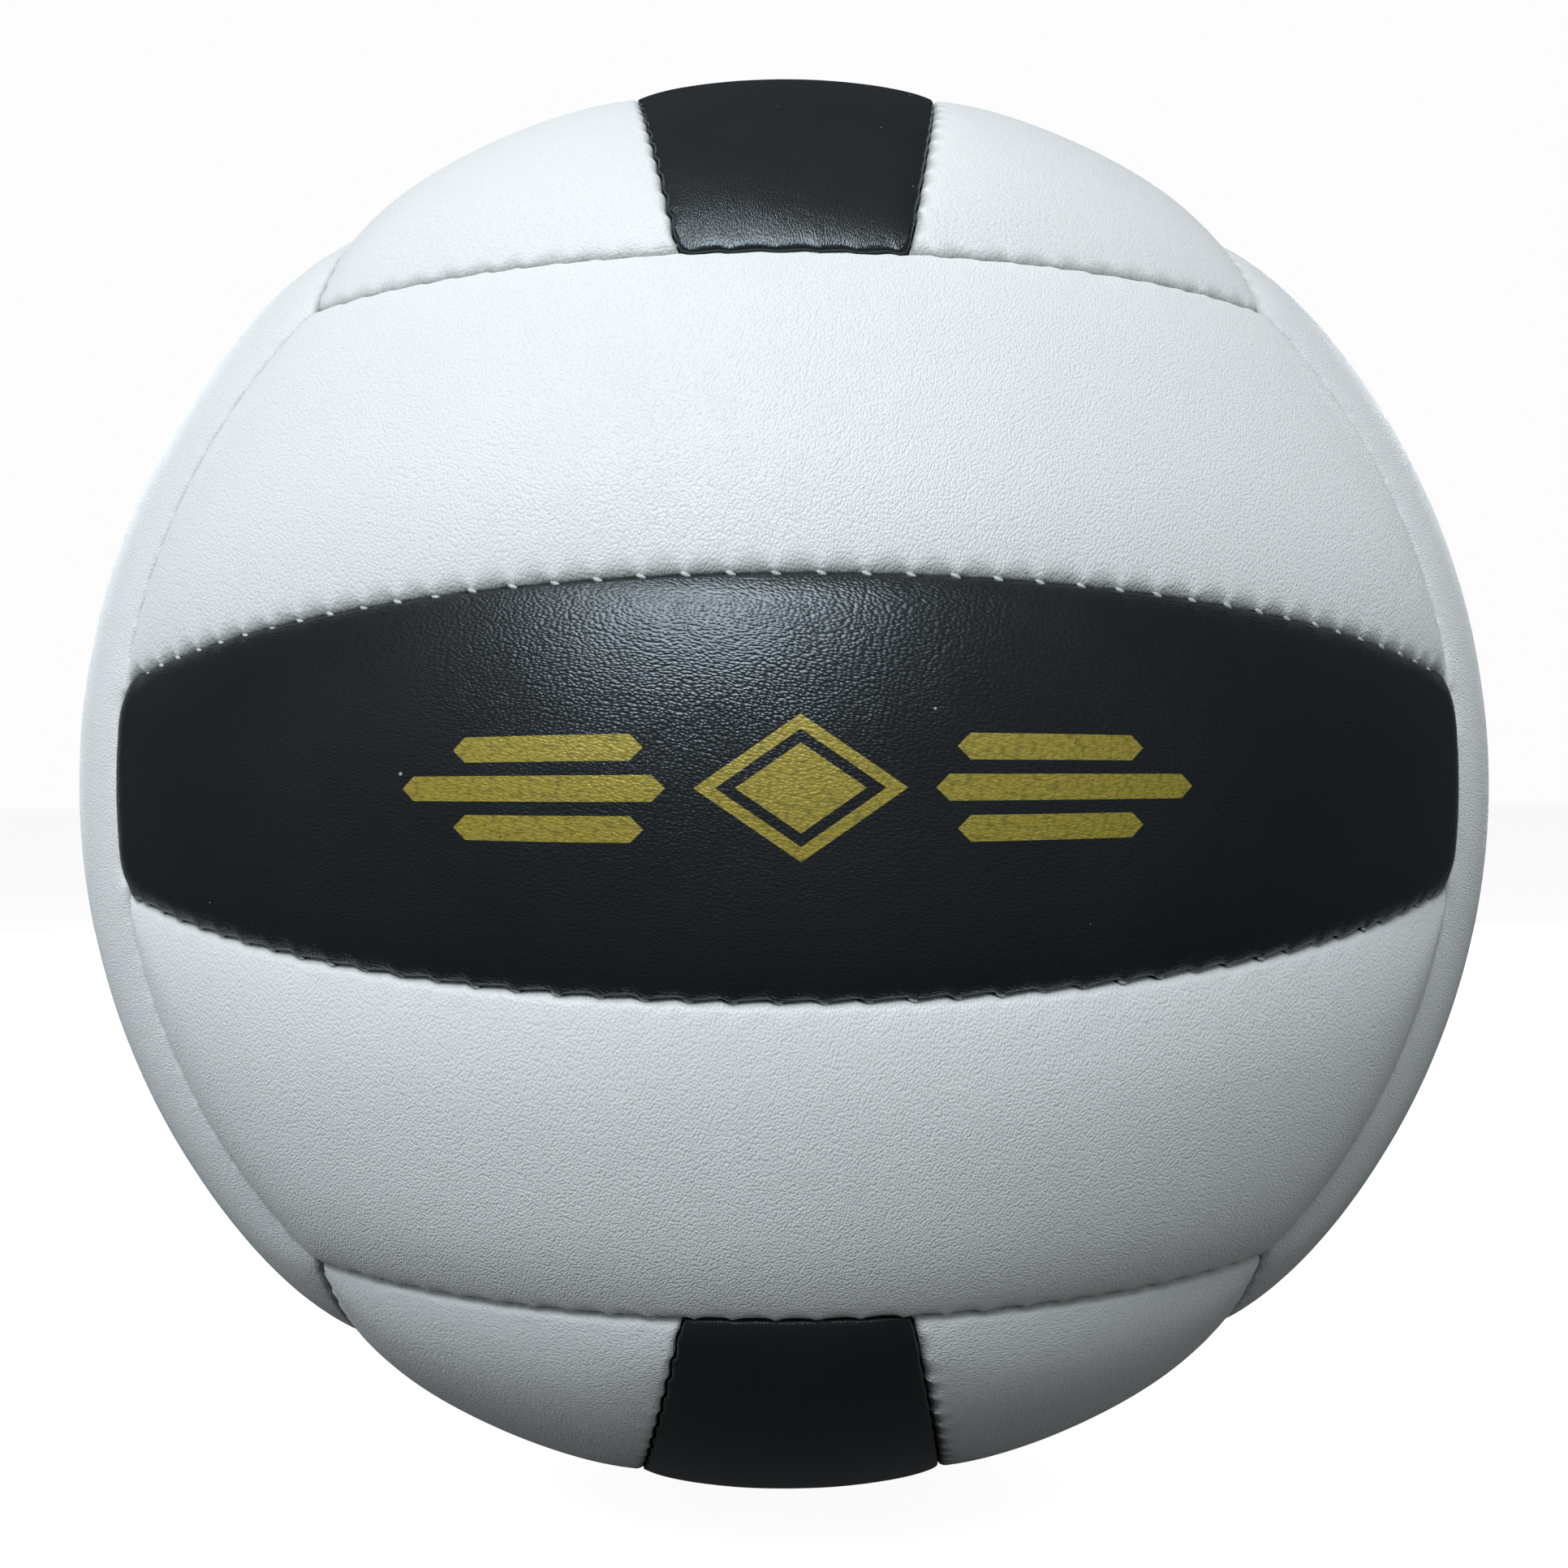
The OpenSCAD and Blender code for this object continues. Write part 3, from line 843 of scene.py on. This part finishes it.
whiteLeather = makeWhiteLeather()
blackLeather = makeBlackLeather("black_leather", plainGrain)
printedLeather = makeBlackLeather("printed_black_leather", black, diamondBadge)
waxedThread = {"threads": (0.60, 0.63, 0.64, 1), "gaps": (0.30, 0.33, 0.33, 1)}
cottonCloth = {"threads": (0.78, 0.76, 0.70, 1), "gaps": (0.5, 0.48, 0.43, 1)}
foamRubber = {"clean": (0.85, 0.82, 0.68, 1), "bloom": (0.78, 0.74, 0.58, 1)}
bladderRubber = {"clean": (0.05, 0.05, 0.055, 1), "bloom": (0.09, 0.09, 0.09, 1)}
seatRubber = {"clean": (0.045, 0.045, 0.05, 1), "bloom": (0.08, 0.08, 0.085, 1)}
coreRubber = {"clean": (0.03, 0.03, 0.032, 1), "bloom": (0.06, 0.06, 0.06, 1)}
threadFinish = woven("thread", waxedThread, pitch=0.35, roughness=0.5, depth=0.02 * mm)
finishes = {                    # for the CAD nodes whose names end so
    "foam_pad": moulded("foam", foamRubber, roughness=0.8, depth=0.12 * mm, pitch=0.8),
    "cloth_lining": woven("lining_cloth", cottonCloth, pitch=0.6, roughness=0.8, depth=0.06 * mm),
    "valve_patch": woven("valve_patch_cloth", cottonCloth, pitch=0.6, roughness=0.8, depth=0.06 * mm),
    "bladder": moulded("bladder_rubber", bladderRubber, roughness=0.55, depth=0.03 * mm),
    "balance_patch": moulded("patch_rubber", bladderRubber, roughness=0.6, depth=0.04 * mm),
    "valve_seat": moulded("valve_seat_rubber", seatRubber, roughness=0.5, depth=0.03 * mm, pitch=0.7),
    "valve_core": moulded("valve_rubber", coreRubber, roughness=0.42, depth=0.03 * mm, pitch=0.6),
}
print("finishes", len(bpy.data.materials))

blackRelief = {
    "Fold Depth": 0.10 * mm, "Edge Width": 0.5 * mm, "Width Below": 1.0, "Edge Depth": 0.45 * mm,
    "Crown Fall": 1.05 * mm, "Crown Reach": 2.3 * mm, "Belly": 0.9 * mm,
    "Scallop Above": 0.17 * mm, "Scallop Below": 0.07 * mm,
}
valve = {
    "place": Vector((0, 1, 0)), "hole": 4.0 * mm, "dimple": 0.45 * mm,
    "sides": 96, "cutLength": 20 * mm,
    "sharp": 50, "near": 1.02,      # the hole's edges stay sharp: degrees of bend, and reach in its radii
}


def cutValveHole(panel):
    bpy.ops.mesh.primitive_cylinder_add(
        vertices=valve["sides"], radius=valve["hole"], depth=valve["cutLength"],
        location=valve["place"] * ball["radius"], rotation=(math.pi / 2, 0, 0))
    cutter = bpy.context.object
    modifier = panel.modifiers.new("valve hole", "BOOLEAN")
    modifier.operation = "DIFFERENCE"
    modifier.solver = "EXACT"
    modifier.object = cutter
    bpy.context.view_layer.update()
    panel.data = bpy.data.meshes.new_from_object(panel.evaluated_get(bpy.context.evaluated_depsgraph_get()))
    panel.modifiers.clear()
    bpy.data.objects.remove(cutter)
    edited = bmesh.new()
    edited.from_mesh(panel.data)
    for edge in edited.edges:
        nearHole = all(math.hypot(v.co.x, v.co.z) < valve["hole"] * valve["near"] for v in edge.verts)
        if nearHole and edge.calc_face_angle(0) > math.radians(valve["sharp"]):
            edge.smooth = False
    edited.to_mesh(panel.data)
    edited.free()


panels = []
for setName, (turn, strips) in sets.items():
    for strip, stripName in enumerate(strips):
        isBlack = strip == middle
        isPrinted = isBlack and setName == "front"
        hasValve = isBlack and setName == "back"
        leather = printedLeather if isPrinted else blackLeather if isBlack else whiteLeather
        changes = dict(blackRelief) if isBlack else {}
        if hasValve:
            changes["Dimple"] = valve["dimple"]
        order = 0 if isPrinted else 1 + len(panels)     # the print is centred on the roll's own zero
        panel = makePanel(setName, strip, order, leather, changes)
        if hasValve:
            cutValveHole(panel)
        keepOnly(panel.data, ("seamShade",))
        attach(panel, "root")
        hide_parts(f"{setName}_{stripName}_panel")
        panels.append(panel)
print("panels", len(panels), "triangles", sum(len(p.data.loops) - 2 * len(p.data.polygons) for p in panels))


# Stitching: one row of stitches and one locking thread on each seam, four seams to a set

stitch = {
    "Depth": 2.1 * mm, "Length": 1.25 * mm, "Thickness": 0.5 * mm, "Slant": 2.2,
    "Unevenness": 0.45 * mm, "Tightness": 0.45 * mm,    # how much deeper some stitches, and most rows, lie
    "Lock Depth": 3.9 * mm, "Lock Thickness": 0.5 * mm,
}
beads = {"segments": 8, "rings": 6, "threadSides": 8, "seed": 4}


def setSeams():
    # the long borders and the two seams inside a set: normal, distance from the centre, half angle, stitches
    borderNormals = [np.array([0, 0, side]) for side in (-1.0, 1.0)]
    innerNormals = [np.array([0, -side * math.sin(split), math.cos(split)]) for side in (-1.0, 1.0)]
    innerHalf = math.acos(third / math.cos(split))
    borders = [(normal, third, math.pi / 4, ball["stitchesBorder"]) for normal in borderNormals]
    return borders + [(normal, 0.0, innerHalf, ball["stitchesInside"]) for normal in innerNormals]


def stitchPlaces(setName):
    turn = setTurns[setName]
    places, acrosses, tight, edges = [], [], [], []
    for normal, offset, half, count in setSeams():
        angles = (np.arange(count) + 0.5 - count / 2) / (count / 2) * half
        circle = math.sqrt(1 - offset ** 2)
        lengthwise = np.sin(angles)[:, None] * np.array([1.0, 0, 0])
        points = normal * offset + circle * (np.cos(angles)[:, None] * wayOut(normal) + lengthwise)
        first = len(places)
        places += list(points @ turn.T * ball["radius"])
        acrosses += [turn @ normal] * count
        tight += [0.0 if offset == 0 and setName == "front" else 1.0] * count
        edges += [(first + i, first + i + 1) for i in range(count - 1)]
    return places, acrosses, tight, edges


def stitchTree():
    w, given, result = shapeTree("Seam stitching", stitch, "Thread")
    radial = w.vector("NORMALIZE", w.add("GeometryNodeInputPosition").outputs[0])

    def sink(depth):
        offset = w.scale(radial, w.times(depth, -1.0))
        return w.add("GeometryNodeSetPosition", {"Geometry": given["Geometry"], "Offset": offset}).outputs[0]

    across = w.stored("across", "FLOAT_VECTOR")
    along = w.vector("CROSS_PRODUCT", radial, across)
    length = w.vector("ADD", across, w.scale(along, given["Slant"]))
    upright = w.add("FunctionNodeAlignRotationToVector", {"Vector": radial}, axis="Z").outputs[0]
    lengthwise = {"Rotation": upright, "Vector": length}
    turned = w.add("FunctionNodeAlignRotationToVector", lengthwise, axis="X", pivot_axis="Z").outputs[0]
    roundBead = {"Segments": beads["segments"], "Rings": beads["rings"], "Radius": 0.5}
    bead = w.add("GeometryNodeMeshUVSphere", roundBead).outputs[0]
    size = w.add("ShaderNodeCombineXYZ", {0: given["Length"], 1: given["Thickness"], 2: given["Thickness"]})
    shaped = w.add("GeometryNodeTransform", {"Geometry": bead, "Scale": size.outputs[0]}).outputs[0]
    draw = {2: 0.0, 3: 1.0, "Seed": beads["seed"]}
    chance = w.add("FunctionNodeRandomValue", draw, data_type="FLOAT").outputs[1]
    tightened = w.times(w.stored("tight"), given["Tightness"])
    deep = w.plus(given["Depth"], w.times(chance, given["Unevenness"]), tightened)
    spread = {"Points": sink(deep), "Instance": shaped, "Rotation": turned}
    row = w.add("GeometryNodeInstanceOnPoints", spread)
    route = w.add("GeometryNodeMeshToCurve", {0: sink(given["Lock Depth"])}).outputs[0]
    roundThread = {"Resolution": beads["threadSides"], "Radius": w.times(given["Lock Thickness"], 0.5)}
    profile = w.add("GeometryNodeCurvePrimitiveCircle", roundThread).outputs[0]
    swept = {"Curve": route, "Profile Curve": profile, "Fill Caps": True}
    lock = w.add("GeometryNodeCurveToMesh", swept)
    both = w.add("GeometryNodeJoinGeometry")
    for made in (lock, row):
        w.feed(both.inputs[0], made.outputs[0])
    return endTree(w, result, both.outputs[0], given["Thread"])


sewing = stitchTree()
for setName in sets:
    places, acrosses, tight, edges = stitchPlaces(setName)
    mesh = bpy.data.meshes.new("stitch places")
    mesh.from_pydata([list(p) for p in places], edges, [])
    addAttribute(mesh, "across", np.array(acrosses))
    addAttribute(mesh, "tight", np.array(tight))
    holder = bpy.data.objects.new("stitch places", mesh)
    scene.collection.objects.link(holder)
    row = runTree(holder, sewing, {**stitch, "Thread": threadFinish}, f"{setName}_stitching")
    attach(row, "root")
    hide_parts(f"{setName}_seam_thread")
print("stitches", sum(count for *_, count in setSeams()) * len(sets))

for name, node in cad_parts.items():
    for ending, finish in finishes.items():
        if name.endswith(ending):
            node.data.materials.clear()
            node.data.materials.append(finish)


# Camera, floor and light

view = {
    "place": (-0.0405, -2.5497, 0.0094),                # in ball radii
    "up": (0.0037, 0.0036, 1.0),
    "silhouette": 870, "frame": 1932,                   # pixels: the ball's radius and the picture's side
    "sensor": 36.0,
    "clip": (0.01, 20),
}


def makeCamera():
    data = bpy.data.cameras.new("camera")
    camera = bpy.data.objects.new("camera", data)
    scene.collection.objects.link(camera)
    place = Vector(view["place"]) * ball["radius"]
    back = place.normalized()
    right = Vector(view["up"]).cross(back).normalized()
    up = back.cross(right)
    turned = Matrix((right, up, back)).transposed().to_4x4()
    camera.matrix_world = Matrix.Translation(place) @ turned
    focal = view["silhouette"] * math.sqrt(Vector(view["place"]).length_squared - 1)
    data.sensor_width = view["sensor"]
    data.lens = view["sensor"] * focal / view["frame"]
    data.clip_start, data.clip_end = view["clip"]
    scene.camera = camera


lights = {                      # azimuth and elevation round the ball, distance, size, watts and colour
    "front": (-12, 36, 1.0, (0.54, 0.20), 6.0, (0.89, 0.945, 1.0)),
    "front high": (-17, 51, 1.0, (0.48, 0.20), 1.6, (1.0, 0.95, 0.90)),
    "front core": (-19, 54, 1.0, (0.34, 0.07), 1.0, (1.0, 0.99, 0.97)),
    "left": (-60, 8, 1.0, (0.30, 0.40), 2.7, (0.92, 0.98, 1.0)),
    "left high": (-52, 66, 1.0, (0.18, 0.10), 1.1, (0.90, 0.95, 1.0)),
    "right": (36, 12, 1.0, (0.30, 0.40), 1.75, (0.94, 1.0, 1.0)),
    "back left": (-155, 10, 1.0, (0.50, 0.50), 5.0, (0.93, 0.97, 1.0)),
    "back right": (155, 10, 1.0, (0.50, 0.50), 5.0, (0.93, 0.97, 1.0)),
}
room = {
    "backdrop": (0.98, 0.98, 0.98, 1), "fill": (0.003, 0.003, 0.003, 1), "mirrored": (0.037, 0.040, 0.043, 1),
    "floor": (0.20, 0.20, 0.20, 1), "floorRoughness": 0.9, "floorGlow": 0.94, "floorSize": 12,
    "softLights": ("left", "right"),                    # these soften the shadows without a highlight
}


def areaLight(name, azimuth, elevation, distance, size, power, colour):
    turn, rise = math.radians(azimuth), math.radians(elevation)
    aim = Vector((math.sin(turn) * math.cos(rise), -math.cos(turn) * math.cos(rise), math.sin(rise)))
    data = bpy.data.lights.new(name, "AREA")
    data.shape = "RECTANGLE"
    data.size, data.size_y = size
    data.energy = power
    data.color = colour
    light = bpy.data.objects.new(name, data)
    scene.collection.objects.link(light)
    light.location = aim * distance
    light.rotation_euler = aim.to_track_quat("Z", "Y").to_euler()
    light.visible_camera = False
    light.visible_glossy = name not in room["softLights"]


def makeFloor():
    # it takes the ball's shadow, but throws no light back up at the ball
    bpy.ops.mesh.primitive_plane_add(size=room["floorSize"], location=(0, 0, -ball["radius"]))
    floor = bpy.context.object
    floor.name = "floor"
    matt = {"Base Color": room["floor"], "Roughness": room["floorRoughness"]}
    glow = {"Emission Color": (1, 1, 1, 1), "Emission Strength": room["floorGlow"]}
    floor.data.materials.append(newMaterial("floor paint", **matt, **glow)[0])
    floor.visible_diffuse = False
    floor.visible_glossy = False
    floor.visible_shadow = False


def makeRoom():
    world = bpy.data.worlds.new("room")
    world.use_nodes = True
    scene.world = world
    w = Wiring(world.node_tree)
    backdrop = world.node_tree.nodes["Background"]
    ray = w.add("ShaderNodeLightPath").outputs
    unseen = blend(w, ray["Is Glossy Ray"], room["fill"], room["mirrored"])
    w.feed(backdrop.inputs["Color"], blend(w, ray["Is Camera Ray"], unseen, room["backdrop"]))
    for name, facts in lights.items():
        areaLight(name, *facts)


makeCamera()
makeFloor()
makeRoom()
scene.view_settings.view_transform = "Standard"
